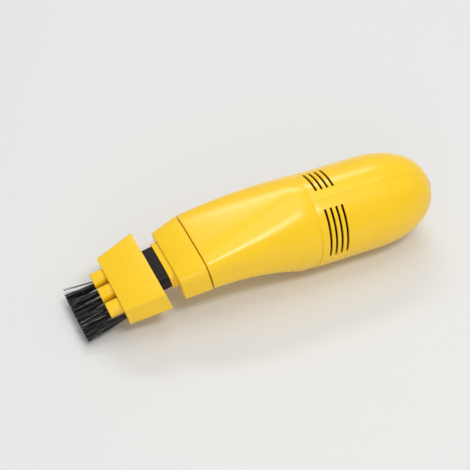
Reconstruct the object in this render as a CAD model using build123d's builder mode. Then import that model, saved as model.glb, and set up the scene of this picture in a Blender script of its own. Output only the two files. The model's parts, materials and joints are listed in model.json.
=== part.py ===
"""Hand-held keyboard vacuum cleaner with a brush head, as separate pieces.

Frame: millimetres, +X forward along the motor axis to the brush, +Y left, +Z up.
The origin is on the small flat on the underside that it rests on, below the motor.
"""

import os
from math import acos, asin, cos, degrees, pi, radians, sin, sqrt

from build123d import *

# Motor housing
housing_radius = 19.0
housing_barrel = 27.8
barrel_back = 15.0
dome_length = 30.0
housing_wall = 1.6
rest_flat_depth = 0.4
tail_flat_radius = 5.2
parting_tilt = 22.0
parting_gap = 0.12
spigot_step = 2.4
spigot_length = 6.7
spigot_wall = 1.4
rib_height = 0.9
rib_thickness = 0.9
cradle_thickness = 1.6

# Vent slits, in one group on each side of the parting line
vent_count = 4
vent_pitch = 2.45
vent_width = 0.95
vent_from_rim = 3.8
vent_start_angle = 12.5
vent_end_left = 78.0
vent_end_right = 50.0

# Dust cup
cup_length = 46.0
cup_wall = 1.5
cup_rise = 0.6
cup_skirt = 6.2
cup_gap = 0.3
cup_fit = 0.25
cup_rim_side = 0.1
cup_middle = 24.1
cup_middle_half_width = 17.6
cup_middle_half_height = 13.2
cup_middle_corner = 11.0
cup_middle_rise = 3.0
seam_half_width = 16.5
seam_half_height = 9.0
seam_corner = 6.0
seam_rise = 1.9

# Nose, on an axis that droops from the seam
droop = 14.2
seam_gap = 0.35
seam_wedge = 1.5
nose_length = 11.75
nose_wall = 1.6
nose_half_width = 14.5
nose_half_height = 7.6
nose_corner = 5.0
nose_rise = -0.5
plug_length = 4.0
plug_wall = 1.3
plug_fit = 0.3
plug_taper = 0.7
neck_length = 2.5
neck_half_width = 10.2
neck_half_height = 4.8
neck_corner = 3.5
neck_rise = 1.2

# Inlet tube
tube_wall = 1.0
tube_seat = 6.0
tube_showing = 4.5
tube_engagement = 7.5
neck_wall = 0.8

# Brush head
head_length = 16.3
head_wall = 1.4
head_back_wall = 2.0
head_front_wall = 2.2
head_fit = 0.25
head_stop_gap = 0.5
socket_wall = 0.9
head_wide_half_width = 17.5
head_wide_half_height = 6.3
head_wide_corner = 3.2
head_wide_rise = 1.0
head_narrow_half_width = 14.8
head_narrow_half_height = 5.6
head_narrow_corner = 2.9
head_narrow_rise = 0.1
suction_count = 3
suction_pitch = 8.1
suction_radius = 3.15
suction_bore = 2.1
suction_length = 4.7
suction_rise = 1.5

# Bristles
tuft_count = 6
tuft_pitch = 4.0
tuft_radius = 1.15
tuft_rise = -3.65
strands_per_tuft = 54
strand_radius = 0.11
bristle_length = 17.3
bristle_unevenness = 0.7
tuft_spread = 1.3
strip_half_width = 12.0
strip_half_height = 1.3
strip_thickness = 1.4

# Fan
shroud_thickness = 1.5
shroud_eye = 8.0
fan_tip_gap = 3.1
fan_blades = 9
fan_blade_thickness = 1.0
fan_blade_lean = 35.0
fan_plate = 1.2
fan_hub_radius = 3.4
fan_clearance = 0.5
loose_fit = 0.1

# Motor
motor_clearance = 0.3
motor_length = 24.0
motor_wall = 0.8
motor_front_wall = 1.2
motor_boss_radius = 3.0
motor_boss_length = 1.6
mount_thickness = 2.0
mount_fan_gap = 1.0
shaft_radius = 1.0
shaft_fit = 0.03
bush_radius = 2.0
bush_length = 3.0
magnet_thickness = 1.9
magnet_length = 15.0
magnet_arc = 136.0
armature_air_gap = 0.5
armature_length = 13.0
armature_slots = 3
armature_slot_width = 2.2
armature_core_radius = 4.2
commutator_radius = 3.2
commutator_length = 3.2
end_cap_thickness = 2.4
end_cap_plug = 1.4
end_boss_radius = 3.2
end_boss_length = 1.8
terminal_spacing = 12.0
terminal_width = 2.2
terminal_thickness = 0.5
terminal_length = 3.6

# Screws
screw_radius = 0.95
screw_fit = 0.1
screw_head_radius = 1.8
screw_head_height = 1.2
screw_drive = 0.5
motor_screw_circle = 8.0
motor_screw_grip = 1.6
boss_radius = 2.2
screw_seat = 3.5
screw_grip = 4.0
barrel_screw_x = -8.0
barrel_screw_inset = 2.8
tail_screw_inset = 5.25
tail_screw_drop = 6.0

# Slide switch, on the right-hand side
switch_x = -14.0
switch_length = 8.6
switch_width = 4.4
switch_height = 3.4
switch_travel = 2.5
knob_length = 9.0
knob_width = 6.0
knob_height = 1.7
knob_fit = 0.3
knob_ribs = 4
knob_rib_pitch = 1.8
knob_rib_width = 0.8
knob_rib_height = 0.45
stem_length = 2.0
stem_width = 1.6
stem_reach = 1.0
recess_depth = 1.1
pad_thickness = 1.5
pad_margin = 2.0
leg_count = 3
leg_pitch = 2.5
leg_length = 0.7
leg_width = 0.6
leg_thickness = 0.3

# Filter
filter_collar = 3.2
filter_collar_wall = 1.4
filter_flange_overlap = 0.5
filter_flange_thickness = 1.0
filter_spoke = 1.4
filter_cloth_thickness = 1.7

# Cord grommet
grommet_hole = 3.4
grommet_bore = 2.1
grommet_flange = 4.8
grommet_lip = 0.8
grommet_back = 1.2
grommet_back_radius = 4.4
grommet_edge = 0.5

# Finish
edge_round = 0.5

# Places worked out from the driving dimensions
axis_z = housing_radius - rest_flat_depth
dome_x = -barrel_back
rim_x = dome_x + housing_barrel
inner_radius = housing_radius - housing_wall
inner_dome = dome_length - housing_wall
tail_x = dome_x - dome_length * sqrt(1 - (tail_flat_radius / housing_radius) ** 2)
tail_inner_x = tail_x + housing_wall
spigot_end = rim_x + spigot_length
spigot_radius = housing_radius - spigot_step
spigot_bore = spigot_radius - spigot_wall
ledge_x = rim_x - housing_wall
filter_flange = spigot_bore + filter_flange_overlap
seam_x = rim_x + cup_length
nose_front = nose_length
neck_front = nose_front + neck_length
head_back = neck_front + tube_showing
head_front = head_back + head_length

# Fan and motor stations along the axis, from the shroud back to the tail
shroud_back = ledge_x - shroud_thickness
fan_front = shroud_back - fan_clearance
fan_back = rim_x - vent_from_rim - vent_count * vent_pitch + vent_width
fan_radius = inner_radius - fan_tip_gap
mount_front = fan_back - mount_fan_gap
motor_front = mount_front - mount_thickness
motor_back = motor_front - motor_length
end_cap_back = motor_back - end_cap_thickness
end_boss_back = end_cap_back - end_boss_length
magnet_middle = motor_front - motor_length / 2
commutator_back = magnet_middle - armature_length / 2 - commutator_length
cradle_x = motor_back + 2 * cradle_thickness
shaft_back = end_boss_back + shaft_radius
shaft_front = fan_front - fan_clearance

body_axis = Axis((0, 0, axis_z), (1, 0, 0))
axis_plane = Plane(origin=(0, 0, axis_z), x_dir=(1, 0, 0), z_dir=(0, -1, 0))
parting_side = Vector(0, cos(radians(parting_tilt)), -sin(radians(parting_tilt)))
parting_top = Vector(0, sin(radians(parting_tilt)), cos(radians(parting_tilt)))
parting_plane = Plane(origin=(0, 0, axis_z), x_dir=(1, 0, 0), z_dir=parting_side)
switch_plane = Plane(origin=(switch_x, 0, axis_z), x_dir=(1, 0, 0), z_dir=(0, -1, 0))
droop_axis = Vector(cos(radians(droop)), 0, -sin(radians(droop)))
droop_up = Vector(sin(radians(droop)), 0, cos(radians(droop)))
seam_centre = Vector(seam_x, 0, axis_z + seam_rise)

# The tube's sizes follow the neck that holds it
tube_half_width = neck_half_width - neck_wall
tube_half_height = neck_half_height - neck_wall
tube_corner = neck_corner - neck_wall
tube_back = nose_front - tube_seat
tube_front = head_back + tube_engagement
head_push = tube_showing - head_stop_gap
recess_floor = housing_radius - recess_depth
switch_top = recess_floor - pad_thickness
recess_length = knob_length + switch_travel + 2 * knob_fit
recess_width = knob_width + 2 * knob_fit
barrel_screw_drop = inner_radius - barrel_screw_inset
tail_screw_x = tail_inner_x + tail_screw_inset
motor_radius = switch_top - switch_height - leg_length - motor_clearance
armature_radius = motor_radius - motor_wall - magnet_thickness - armature_air_gap


def across(x, rise=0.0):
    """Plane square to the motor axis at x, with its own x to the left and y up."""
    return Plane(origin=(x, 0, axis_z + rise), x_dir=(0, 1, 0), z_dir=(1, 0, 0))


def drooped(distance, rise=0.0, wedge=0.0):
    """Plane square to the nose's drooping axis, a distance beyond the seam."""
    normal = Vector(cos(radians(droop - wedge)), 0, -sin(radians(droop - wedge)))
    return Plane(origin=seam_centre + droop_axis * distance + droop_up * rise,
                 x_dir=(0, 1, 0), z_dir=normal)


def around(angle):
    """Plane through the motor axis, with its own y at an angle from the top to the left."""
    turn = radians(angle)
    return Plane(origin=(0, 0, axis_z), x_dir=(1, 0, 0), z_dir=(0, -cos(turn), sin(turn)))


def section(plane, half_width, half_height, corner):
    """Rounded rectangle on a plane."""
    with BuildSketch(plane) as profile:
        RectangleRounded(2 * half_width, 2 * half_height, corner)
    return profile.sketch


def ring(x_back, x_front, outer, inner, mode=Mode.ADD):
    """Turned ring about the motor axis."""
    with BuildSketch(axis_plane) as profile:
        with Locations(((x_back + x_front) / 2, (outer + inner) / 2)):
            Rectangle(x_front - x_back, outer - inner)
    revolve(profile.sketch, axis=body_axis, mode=mode)


def rod(x_back, x_front, radius, mode=Mode.ADD):
    """Round bar on the motor axis."""
    with BuildSketch(across(x_back)) as profile:
        Circle(radius)
    extrude(profile.sketch, amount=x_front - x_back, mode=mode)


def inner_wall(x):
    """Inside radius of the housing at x, barrel or dome."""
    return inner_radius * sqrt(1 - (max(dome_x - x, 0) / inner_dome) ** 2)


def screw_place(x, drop, side):
    """Point of a housing screw's axis, a distance to the left of the parting plane."""
    return Vector(x, 0, axis_z) - parting_top * drop + parting_side * side


screw_sites = [(barrel_screw_x, barrel_screw_drop), (tail_screw_x, tail_screw_drop)]


def side_plane(x, drop, side):
    """Plane of a housing screw that faces the left half."""
    return Plane(origin=screw_place(x, drop, side), x_dir=(1, 0, 0), z_dir=parting_side)


def screw_posts():
    """Round posts across the parting plane, which end in the middle of the housing's wall."""
    with BuildPart() as core:
        with BuildSketch(axis_plane):
            with BuildLine():
                dome = EllipticalCenterArc((dome_x, 0), inner_dome + housing_wall / 2,
                                           inner_radius + housing_wall / 2, 90, arc_size=90)
                Polyline(dome @ 0, (rim_x, inner_radius + housing_wall / 2), (rim_x, 0), dome @ 1)
            make_face()
        revolve(axis=body_axis)
    with BuildPart() as posts:
        for x, drop in screw_sites:
            with BuildSketch(side_plane(x, drop, -housing_radius)):
                Circle(boss_radius)
            extrude(amount=2 * housing_radius)
        add(core.part, mode=Mode.INTERSECT)
    return posts.part


def housing_shell():
    """Both halves of the housing as one shell, before it is parted."""
    tail_angle = degrees(asin(tail_flat_radius / housing_radius))
    inner_angle = degrees(acos((dome_x - tail_inner_x) / inner_dome))
    with BuildPart() as shell:
        with BuildSketch(axis_plane):
            with BuildLine():
                outer = EllipticalCenterArc((dome_x, 0), dome_length, housing_radius, 90,
                                            arc_size=90 - tail_angle)
                inner = EllipticalCenterArc((dome_x, 0), inner_dome, inner_radius, 90,
                                            arc_size=90 - inner_angle)
                Polyline(outer @ 0, (rim_x, housing_radius), (rim_x, spigot_radius),
                         (spigot_end, spigot_radius), (spigot_end, spigot_bore),
                         (ledge_x, spigot_bore), (ledge_x, inner_radius), inner @ 0)
                Polyline(outer @ 1, (tail_x, grommet_hole), (tail_inner_x, grommet_hole), inner @ 1)
            make_face()
        revolve(axis=body_axis)
        # Ribs that trap the motor mount, and the cradle round the back of the motor
        rib_foot = inner_radius + housing_wall / 2
        ring(mount_front, mount_front + rib_thickness, rib_foot, inner_radius - rib_height)
        ring(motor_front - rib_thickness, motor_front, rib_foot, inner_radius - rib_height)
        ring(cradle_x - cradle_thickness, cradle_x, inner_wall(cradle_x) + housing_wall / 2,
             motor_radius + loose_fit)
        add(screw_posts())
        # The flat on the underside
        split(bisect_by=Plane.XY, keep=Keep.TOP)
        for far, near in ((vent_end_left, vent_start_angle), (-vent_start_angle, -vent_end_right)):
            with BuildSketch(around(parting_tilt + far)):
                for slit in range(vent_count):
                    with Locations((rim_x - vent_from_rim - slit * vent_pitch, housing_radius)):
                        Rectangle(vent_width, 3 * housing_wall)
            revolve(axis=body_axis, revolution_arc=far - near, mode=Mode.SUBTRACT)
    return shell.part


housing = housing_shell()

with BuildPart() as housing_left:
    add(housing)
    split(bisect_by=parting_plane.offset(parting_gap / 2), keep=Keep.TOP)
    for x, drop in screw_sites:
        with BuildSketch(side_plane(x, drop, 0)):
            Circle(screw_radius + screw_fit / 2)
        extrude(amount=screw_grip + screw_fit, mode=Mode.SUBTRACT)

with BuildPart() as housing_right:
    add(housing)
    split(bisect_by=parting_plane.offset(-parting_gap / 2), keep=Keep.BOTTOM)
    for x, drop in screw_sites:
        with BuildSketch(side_plane(x, drop, -screw_seat)):
            Circle(screw_radius + screw_fit)
        extrude(amount=screw_seat, mode=Mode.SUBTRACT)
        with BuildSketch(side_plane(x, drop, -screw_seat)):
            Circle(screw_head_radius + screw_fit)
        extrude(amount=-housing_radius, mode=Mode.SUBTRACT)
    # A thicker pad carries the switch, under a shallow recess for its knob
    with BuildSketch(switch_plane.offset(switch_top)):
        with Locations((switch_travel / 2, 0)):
            Rectangle(recess_length + pad_margin, recess_width + pad_margin)
    extrude(amount=pad_thickness)
    with BuildSketch(switch_plane.offset(recess_floor)):
        with Locations((switch_travel / 2, 0)):
            RectangleRounded(recess_length, recess_width, edge_round)
    extrude(amount=2 * recess_depth, mode=Mode.SUBTRACT)
    with BuildSketch(switch_plane.offset(switch_top)):
        with Locations((switch_travel / 2, 0)):
            Rectangle(stem_length + switch_travel + 2 * knob_fit, stem_width + 2 * knob_fit)
    extrude(amount=pad_thickness, mode=Mode.SUBTRACT)

with BuildPart() as front_shell:
    skirt_end = rim_x + cup_skirt
    rim_corner = housing_radius - cup_rim_side
    inner_skirt = housing_radius - cup_wall
    loft([section(across(skirt_end, cup_rise), housing_radius, housing_radius, rim_corner),
          section(across(rim_x + cup_middle, cup_middle_rise), cup_middle_half_width,
                  cup_middle_half_height, cup_middle_corner),
          section(drooped(0), seam_half_width, seam_half_height, seam_corner)])
    extrude(section(across(rim_x + cup_gap, cup_rise), housing_radius, housing_radius, rim_corner),
            amount=cup_skirt - cup_gap)
    back_edge = front_shell.faces().sort_by(Axis.X)[0].outer_wire().edges()
    fillet(back_edge, edge_round)
    loft([section(across(skirt_end, cup_rise), inner_skirt, inner_skirt, inner_skirt - cup_rim_side),
          section(across(rim_x + cup_middle, cup_middle_rise), cup_middle_half_width - cup_wall,
                  cup_middle_half_height - cup_wall, cup_middle_corner - cup_wall),
          section(drooped(0), seam_half_width - cup_wall, seam_half_height - cup_wall,
                  seam_corner - cup_wall)], mode=Mode.SUBTRACT)
    rod(rim_x, spigot_end + cup_gap, spigot_radius + cup_fit, mode=Mode.SUBTRACT)

with BuildPart() as nose:
    wedge_lift = seam_half_height * sin(radians(seam_wedge))
    plug_width = seam_half_width - cup_wall - plug_fit
    plug_height = seam_half_height - cup_wall - plug_fit
    plug_corner = seam_corner - cup_wall - plug_fit
    loft([section(drooped(seam_gap + wedge_lift, 0, seam_wedge), seam_half_width, seam_half_height,
                  seam_corner),
          section(drooped(nose_front, nose_rise), nose_half_width, nose_half_height, nose_corner)])
    front_edge = nose.faces().sort_by(Axis.X)[-1].outer_wire().edges()
    fillet(front_edge, edge_round)
    # The plug that goes into the mouth of the cup, drawn in towards its back end
    loft([section(drooped(-plug_length), plug_width - plug_taper, plug_height - plug_taper,
                  plug_corner - plug_taper),
          section(drooped(nose_length / 2), plug_width, plug_height, plug_corner)])
    loft([section(drooped(-plug_length), plug_width - plug_taper - plug_wall,
                  plug_height - plug_taper - plug_wall, plug_corner - plug_taper - plug_wall),
          section(drooped(nose_front - nose_wall, nose_rise), nose_half_width - plug_wall - nose_wall,
                  nose_half_height - nose_wall, nose_corner - nose_wall)], mode=Mode.SUBTRACT)
    # Neck, with the collar behind it that holds the tube
    extrude(section(drooped(tube_back, neck_rise), neck_half_width, neck_half_height, neck_corner),
            amount=neck_front - tube_back)
    extrude(section(drooped(tube_back, neck_rise), tube_half_width, tube_half_height, tube_corner),
            amount=neck_front - tube_back, mode=Mode.SUBTRACT)

with BuildPart() as inlet_tube:
    extrude(section(drooped(tube_back, neck_rise), tube_half_width, tube_half_height, tube_corner),
            amount=tube_front - tube_back)
    extrude(section(drooped(tube_back, neck_rise), tube_half_width - tube_wall,
                    tube_half_height - tube_wall, tube_corner - tube_wall),
            amount=tube_front - tube_back, mode=Mode.SUBTRACT)

with BuildPart() as brush_head:
    socket_end = tube_front - tube_engagement / 4
    loft([section(drooped(head_back, head_wide_rise), head_wide_half_width, head_wide_half_height,
                  head_wide_corner),
          section(drooped(head_front, head_narrow_rise), head_narrow_half_width,
                  head_narrow_half_height, head_narrow_corner)])
    loft([section(drooped(head_back + head_back_wall, head_wide_rise), head_wide_half_width - head_wall,
                  head_wide_half_height - head_wall, head_wide_corner - head_wall),
          section(drooped(head_front - head_front_wall, head_narrow_rise),
                  head_narrow_half_width - head_wall, head_narrow_half_height - head_wall,
                  head_narrow_corner - head_wall)], mode=Mode.SUBTRACT)
    # Socket that slides on the inlet tube
    extrude(section(drooped(head_back + head_back_wall / 2, neck_rise),
                    tube_half_width + head_fit + socket_wall, tube_half_height + head_fit + socket_wall,
                    tube_corner + head_fit + socket_wall),
            amount=socket_end - head_back - head_back_wall / 2)
    extrude(section(drooped(head_back, neck_rise), tube_half_width + head_fit,
                    tube_half_height + head_fit, tube_corner + head_fit),
            amount=tube_front + head_push + head_fit - head_back, mode=Mode.SUBTRACT)
    # Suction tubes through the front wall
    with BuildSketch(drooped(head_front - head_front_wall, suction_rise)):
        with GridLocations(suction_pitch, 0, suction_count, 1):
            Circle(suction_radius)
    extrude(amount=head_front_wall + suction_length)
    with BuildSketch(drooped(head_front - head_front_wall, suction_rise)):
        with GridLocations(suction_pitch, 0, suction_count, 1):
            Circle(suction_bore)
    extrude(amount=head_front_wall + suction_length, mode=Mode.SUBTRACT)
    # Pocket for the bristle strip
    with BuildSketch(drooped(head_front, tuft_rise)):
        Rectangle(2 * strip_half_width, 2 * strip_half_height)
    extrude(amount=-strip_thickness, mode=Mode.SUBTRACT)


def strand(plane, along, up, length):
    """One bristle: a three-sided bar that leans outwards from the middle of its tuft."""
    with BuildSketch(plane, mode=Mode.PRIVATE) as root:
        with Locations((along, up)):
            RegularPolygon(strand_radius, 3)
    lean = (plane.x_dir * along + plane.y_dir * up) * (tuft_spread - 1) + plane.z_dir * bristle_length
    return Solid.extrude(root.sketch.faces()[0], lean * (length / bristle_length))


with BuildPart() as bristles:
    golden_angle = pi * (3 - sqrt(5))
    golden_ratio = (sqrt(5) - 1) / 2
    with BuildSketch(drooped(head_front - strip_thickness, tuft_rise)):
        Rectangle(2 * strip_half_width, 2 * strip_half_height)
    extrude(amount=strip_thickness)
    strands = []
    for tuft in range(tuft_count):
        tuft_plane = drooped(head_front - strip_thickness / 2, tuft_rise)
        tuft_plane.origin = tuft_plane.origin + Vector(0, (tuft - (tuft_count - 1) / 2) * tuft_pitch, 0)
        for hair in range(strands_per_tuft):
            reach = tuft_radius * sqrt((hair + 0.5) / strands_per_tuft)
            turn = hair * golden_angle
            short = bristle_unevenness * (((hair + 1) * (tuft + 1) * golden_ratio) % 1)
            strands.append(strand(tuft_plane, reach * cos(turn), reach * sin(turn),
                                  strip_thickness / 2 + bristle_length - short))
    add(strands, clean=False)

with BuildPart() as filter_frame:
    collar_radius = spigot_bore - 2 * loose_fit
    ring(spigot_end - filter_collar, spigot_end, collar_radius, collar_radius - filter_collar_wall)
    ring(spigot_end, spigot_end + filter_flange_thickness, filter_flange, collar_radius - filter_collar_wall)
    with BuildSketch(across(spigot_end)):
        for turn in (0, 90):
            Rectangle(2 * collar_radius - filter_collar_wall, filter_spoke, rotation=turn)
    extrude(amount=filter_flange_thickness)

with BuildPart() as filter_cloth:
    rod(spigot_end - filter_cloth_thickness, spigot_end, collar_radius - filter_collar_wall - loose_fit)

with BuildPart() as fan_shroud:
    ring(shroud_back, ledge_x, inner_radius - loose_fit, shroud_eye)

with BuildPart() as fan_impeller:
    rod(fan_back, fan_back + fan_plate, fan_radius)
    rod(fan_back, fan_front, fan_hub_radius)
    blade_length = fan_radius - fan_hub_radius
    with BuildSketch(across(fan_back)):
        with PolarLocations(fan_hub_radius, fan_blades):
            Rectangle(blade_length, fan_blade_thickness, rotation=fan_blade_lean,
                      align=(Align.MIN, Align.CENTER))
    extrude(amount=fan_front - fan_back)
    rod(fan_back, fan_front, shaft_radius, mode=Mode.SUBTRACT)

with BuildPart() as motor_shaft:
    rod(shaft_back, shaft_front, shaft_radius)

with BuildPart() as motor_mount:
    rod(motor_front, mount_front, inner_radius - loose_fit)
    rod(motor_front, mount_front, motor_boss_radius + loose_fit, mode=Mode.SUBTRACT)
    with BuildSketch(across(motor_front)):
        with PolarLocations(motor_screw_circle, 2):
            Circle(screw_radius + screw_fit)
    extrude(amount=mount_thickness, mode=Mode.SUBTRACT)
    with BuildSketch(across(mount_front - screw_head_height)):
        with PolarLocations(motor_screw_circle, 2):
            Circle(screw_head_radius + screw_fit)
    extrude(amount=screw_head_height, mode=Mode.SUBTRACT)

with BuildPart() as motor_can:
    rod(motor_back, motor_front, motor_radius)
    rod(motor_front, motor_front + motor_boss_length, motor_boss_radius)
    rod(motor_back, motor_front - motor_front_wall, motor_radius - motor_wall, mode=Mode.SUBTRACT)
    rod(motor_front - motor_front_wall, motor_front + motor_boss_length, bush_radius, mode=Mode.SUBTRACT)
    with BuildSketch(across(motor_front)):
        with PolarLocations(motor_screw_circle, 2):
            Circle(screw_radius + screw_fit)
    extrude(amount=-motor_front_wall, mode=Mode.SUBTRACT)

with BuildPart() as motor_magnets:
    magnet_outer = motor_radius - motor_wall
    for middle in (90, -90):
        with BuildSketch(around(middle + magnet_arc / 2)):
            with Locations((magnet_middle, magnet_outer - magnet_thickness / 2)):
                Rectangle(magnet_length, magnet_thickness)
        revolve(axis=body_axis, revolution_arc=magnet_arc)

with BuildPart() as motor_armature:
    core_back = magnet_middle - armature_length / 2
    rod(core_back, core_back + armature_length, armature_radius)
    with BuildSketch(across(core_back)):
        with PolarLocations(armature_core_radius, armature_slots):
            Rectangle(armature_radius, armature_slot_width, align=(Align.MIN, Align.CENTER))
    extrude(amount=armature_length, mode=Mode.SUBTRACT)
    rod(commutator_back, core_back, commutator_radius)
    rod(commutator_back, core_back + armature_length, shaft_radius, mode=Mode.SUBTRACT)

with BuildPart() as motor_end_cap:
    cap_radius = motor_radius - motor_wall
    rod(end_cap_back, motor_back, motor_radius)
    ring(motor_back, motor_back + end_cap_plug, cap_radius - loose_fit, cap_radius - magnet_thickness)
    rod(end_boss_back, end_cap_back, end_boss_radius)
    rod(end_boss_back + motor_wall, motor_back, bush_radius, mode=Mode.SUBTRACT)

with BuildPart() as motor_bushes:
    front_bush = motor_front - motor_front_wall
    ring(front_bush, motor_front + motor_boss_length, bush_radius, shaft_radius + shaft_fit)
    ring(end_boss_back + motor_wall, end_boss_back + motor_wall + bush_length, bush_radius,
         shaft_radius + shaft_fit)

with BuildPart() as motor_terminals:
    with BuildSketch(across(end_cap_back)):
        with GridLocations(terminal_spacing, 0, 2, 1):
            Rectangle(terminal_width, terminal_thickness)
    extrude(amount=-terminal_length)

with BuildPart() as motor_screws:
    with BuildSketch(across(mount_front - screw_head_height)):
        with PolarLocations(motor_screw_circle, 2):
            Circle(screw_head_radius)
    extrude(amount=screw_head_height)
    with BuildSketch(across(mount_front - screw_head_height)):
        with PolarLocations(motor_screw_circle, 2):
            Circle(screw_radius)
    extrude(amount=-(mount_thickness - screw_head_height + motor_front_wall + motor_screw_grip))
    with BuildSketch(across(mount_front)):
        with PolarLocations(motor_screw_circle, 2):
            Rectangle(screw_head_radius, screw_drive)
            Rectangle(screw_drive, screw_head_radius)
    extrude(amount=-screw_head_height / 2, mode=Mode.SUBTRACT)

with BuildPart() as housing_screws:
    for x, drop in screw_sites:
        with BuildSketch(side_plane(x, drop, -screw_seat)):
            Circle(screw_head_radius)
        extrude(amount=-screw_head_height)
        with BuildSketch(side_plane(x, drop, -screw_seat)):
            Circle(screw_radius)
        extrude(amount=screw_seat + screw_grip)
        with BuildSketch(side_plane(x, drop, -screw_seat - screw_head_height)):
            Rectangle(screw_head_radius, screw_drive)
            Rectangle(screw_drive, screw_head_radius)
        extrude(amount=screw_head_height / 2, mode=Mode.SUBTRACT)

with BuildPart() as switch_body:
    with BuildSketch(switch_plane.offset(switch_top)):
        Rectangle(switch_length, switch_width)
    extrude(amount=-switch_height)
    with BuildSketch(switch_plane.offset(switch_top)):
        with Locations((switch_travel / 2, 0)):
            Rectangle(stem_length + switch_travel + 2 * knob_fit, stem_width + 2 * knob_fit)
    extrude(amount=-stem_reach - knob_fit, mode=Mode.SUBTRACT)

with BuildPart() as switch_terminals:
    with BuildSketch(switch_plane.offset(switch_top - switch_height)):
        with GridLocations(leg_pitch, 0, leg_count, 1):
            Rectangle(leg_width, leg_thickness)
    extrude(amount=-leg_length)

with BuildPart() as switch_knob:
    with BuildSketch(switch_plane.offset(recess_floor + knob_fit)):
        RectangleRounded(knob_length, knob_width, edge_round)
    extrude(amount=knob_height)
    with BuildSketch(switch_plane.offset(recess_floor + knob_fit + knob_height)):
        with GridLocations(knob_rib_pitch, 0, knob_ribs, 1):
            Rectangle(knob_rib_width, knob_width - 2 * edge_round)
    extrude(amount=knob_rib_height)
    with BuildSketch(switch_plane.offset(recess_floor + knob_fit)):
        Rectangle(stem_length, stem_width)
    extrude(amount=-(pad_thickness + knob_fit + stem_reach))

with BuildPart() as cord_grommet:
    ring(tail_x - grommet_lip, tail_x, grommet_flange, grommet_bore)
    lip_edge = cord_grommet.faces().sort_by(Axis.X)[0].edges().sort_by(SortBy.LENGTH)[-1]
    fillet(lip_edge, grommet_edge)
    ring(tail_x, tail_inner_x, grommet_hole, grommet_bore)
    ring(tail_inner_x, tail_inner_x + grommet_back, grommet_back_radius, grommet_bore)

pieces = {
    "housing_left": housing_left,
    "housing_right": housing_right,
    "front_shell": front_shell,
    "nose": nose,
    "inlet_tube": inlet_tube,
    "brush_head": brush_head,
    "bristles": bristles,
    "filter_frame": filter_frame,
    "filter_cloth": filter_cloth,
    "fan_shroud": fan_shroud,
    "fan_impeller": fan_impeller,
    "motor_shaft": motor_shaft,
    "motor_mount": motor_mount,
    "motor_can": motor_can,
    "motor_magnets": motor_magnets,
    "motor_armature": motor_armature,
    "motor_end_cap": motor_end_cap,
    "motor_bushes": motor_bushes,
    "motor_terminals": motor_terminals,
    "motor_screws": motor_screws,
    "housing_screws": housing_screws,
    "switch_body": switch_body,
    "switch_terminals": switch_terminals,
    "switch_knob": switch_knob,
    "cord_grommet": cord_grommet,
}

os.makedirs("parts", exist_ok=True)
for name, piece in pieces.items():
    piece.part.label = name
    export_step(piece.part, f"parts/{name}.step")
    box = piece.part.bounding_box()
    reach = f"x {box.min.X:.2f} to {box.max.X:.2f}, z {box.min.Z:.2f} to {box.max.Z:.2f}"
    print(f"{name}: {piece.part.volume:.1f} mm3, {reach}")
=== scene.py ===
# %% [markdown]
# # A small hand-held vacuum cleaner
#
# The object is a hand-held cleaner in glossy yellow plastic: a round motor housing with vent slits, a dust
# cup that tapers from round to nearly square, a nose that droops, and a brush head on a short black duct.
# Its solids are already made at their real size. This lesson loads them as a fixed frame, models the outer
# shells again as smooth meshes, and gives every piece a finish.

# %% Load the frame
import json
import math
import random

import bmesh
import bpy
from mathutils import Matrix, Vector


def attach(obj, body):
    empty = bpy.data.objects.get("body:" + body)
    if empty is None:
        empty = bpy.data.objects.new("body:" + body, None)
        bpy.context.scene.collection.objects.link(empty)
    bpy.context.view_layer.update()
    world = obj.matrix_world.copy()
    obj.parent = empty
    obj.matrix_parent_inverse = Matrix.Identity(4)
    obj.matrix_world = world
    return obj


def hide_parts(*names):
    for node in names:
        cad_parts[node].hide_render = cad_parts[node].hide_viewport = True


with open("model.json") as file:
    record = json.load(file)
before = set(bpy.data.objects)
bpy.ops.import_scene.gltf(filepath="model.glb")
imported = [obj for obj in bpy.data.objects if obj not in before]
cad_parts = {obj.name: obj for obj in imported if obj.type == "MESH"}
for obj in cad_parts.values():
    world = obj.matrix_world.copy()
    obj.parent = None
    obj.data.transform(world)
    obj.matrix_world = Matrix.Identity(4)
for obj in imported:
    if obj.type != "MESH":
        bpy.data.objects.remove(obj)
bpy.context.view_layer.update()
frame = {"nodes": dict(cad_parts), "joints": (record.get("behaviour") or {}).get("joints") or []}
mm = 0.001

# %% [markdown]
# ## The camera
#
# The viewing angle is part of a likeness, so it comes first. The camera stands high in front of the left
# side and looks down along the object, through a long lens. A constraint could aim it, but its place and its
# directions are written down here in the object's own frame, so the object itself is never tilted or moved
# to suit the picture.

# %% Set up the camera
picture_side, picture_middle = 470, (235.0, 232.0)
focal_pixels, sensor_width, nearest = 1403.2, 36.0, 0.01
camera_place = Vector((215.57, 340.96, 413.81)) * mm
camera_right = Vector((-0.9062, 0.4214, 0.0350))
camera_ahead = Vector((-0.3181, -0.6248, -0.7130))
camera_up = camera_right.cross(camera_ahead)

view_camera = bpy.data.cameras.new("view_camera")
view_camera.sensor_width = sensor_width
view_camera.lens = sensor_width * focal_pixels / picture_side
view_camera.shift_x = (picture_side / 2 - picture_middle[0]) / picture_side
view_camera.shift_y = (picture_middle[1] - picture_side / 2) / picture_side
view_camera.clip_start = nearest
camera_object = bpy.data.objects.new("view_camera", view_camera)
camera_turn = Matrix((camera_right, camera_up, -camera_ahead)).transposed()
camera_object.matrix_world = Matrix.Translation(camera_place) @ camera_turn.to_4x4()
bpy.context.scene.collection.objects.link(camera_object)
bpy.context.scene.camera = camera_object
print("lens:", round(view_camera.lens, 1), "mm")

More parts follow.
